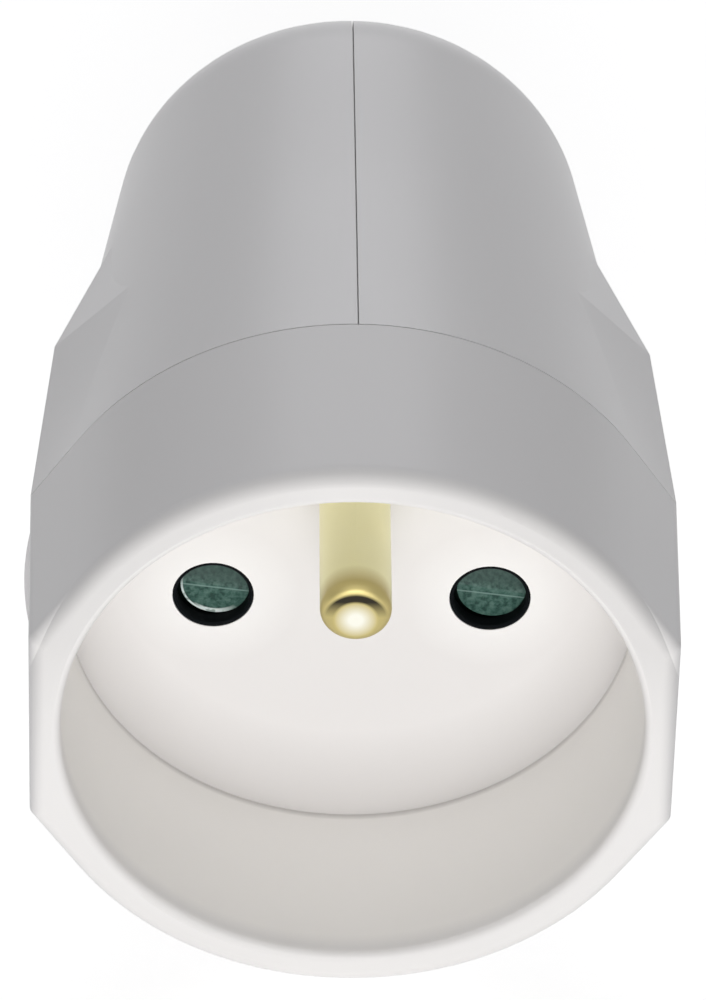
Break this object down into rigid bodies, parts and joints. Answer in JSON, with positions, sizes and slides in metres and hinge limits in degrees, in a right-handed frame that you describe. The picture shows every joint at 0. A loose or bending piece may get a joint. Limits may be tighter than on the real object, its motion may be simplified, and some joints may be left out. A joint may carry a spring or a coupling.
{
  "type": "in-line socket",
  "caption": "Hand-held in-line mains socket with a deep round recess, male earth pin, shuttered contact holes and a tapered two-part rear housing.",
  "frame": {"origin": "centre of the floor of the plug recess", "axes": "+Y rearwards along the socket to the cord inlet, +Z towards the earth pin, +X to the right when looking into the recess"},
  "size_m": [0.045, 0.067, 0.045],
  "materials": {
    "white_plastic": "glossy white moulded thermoplastic, lightly yellowed inside the recess",
    "black_plastic": "fine matt black moulded thermoplastic",
    "green_plastic": "dark green satin moulded thermoplastic",
    "pin_brass": "pale turned brass, satin",
    "contact_brass": "stamped brass, bright",
    "screw_steel": "zinc-plated steel",
    "spring_steel": "bare spring steel"
  },
  "bodies": {
    "housing": {"front_shell": "white_plastic", "left_rear_shell": "white_plastic", "right_rear_shell": "white_plastic", "shutter_plate": "black_plastic", "shutter_spring": "spring_steel", "contact_carrier": "black_plastic", "carrier_cover": "black_plastic", "left_contact": "contact_brass", "right_contact": "contact_brass", "left_contact_clip": "spring_steel", "right_contact_clip": "spring_steel", "left_terminal_block": "contact_brass", "right_terminal_block": "contact_brass", "earth_terminal_block": "contact_brass", "earth_pin": "pin_brass", "earth_strap": "contact_brass", "carrier_screws": "screw_steel", "cover_screw": "screw_steel", "housing_screws": "screw_steel"},
    "shutter": {"shutter_slide": "green_plastic"},
    "left_terminal_screw": {"left_terminal_screw": "screw_steel"},
    "right_terminal_screw": {"right_terminal_screw": "screw_steel"},
    "earth_terminal_screw": {"earth_terminal_screw": "screw_steel"},
    "cord_clamp": {"cord_clamp_bar": "black_plastic", "cord_clamp_screws": "screw_steel"}
  },
  "joints": [
    {"name": "shutter_slide", "type": "slide", "parent": "housing", "child": "shutter", "axis": [0, 0, -1], "range_m": [0, 0.006], "stiffness_N_per_m": 60, "springref_m": -0.004, "deforming": ["shutter_spring"]},
    {"name": "left_terminal_screw_travel", "type": "slide", "parent": "housing", "child": "left_terminal_screw", "axis": [0, 0, 1], "range_m": [0, 0.0025]},
    {"name": "right_terminal_screw_travel", "type": "slide", "parent": "housing", "child": "right_terminal_screw", "axis": [0, 0, 1], "range_m": [0, 0.0025]},
    {"name": "earth_terminal_screw_travel", "type": "slide", "parent": "housing", "child": "earth_terminal_screw", "axis": [0, 0, 1], "range_m": [0, 0.0025]},
    {"name": "cord_clamp_travel", "type": "slide", "parent": "housing", "child": "cord_clamp", "axis": [-1, 0, 0], "range_m": [0, 0.003]}
  ]
}
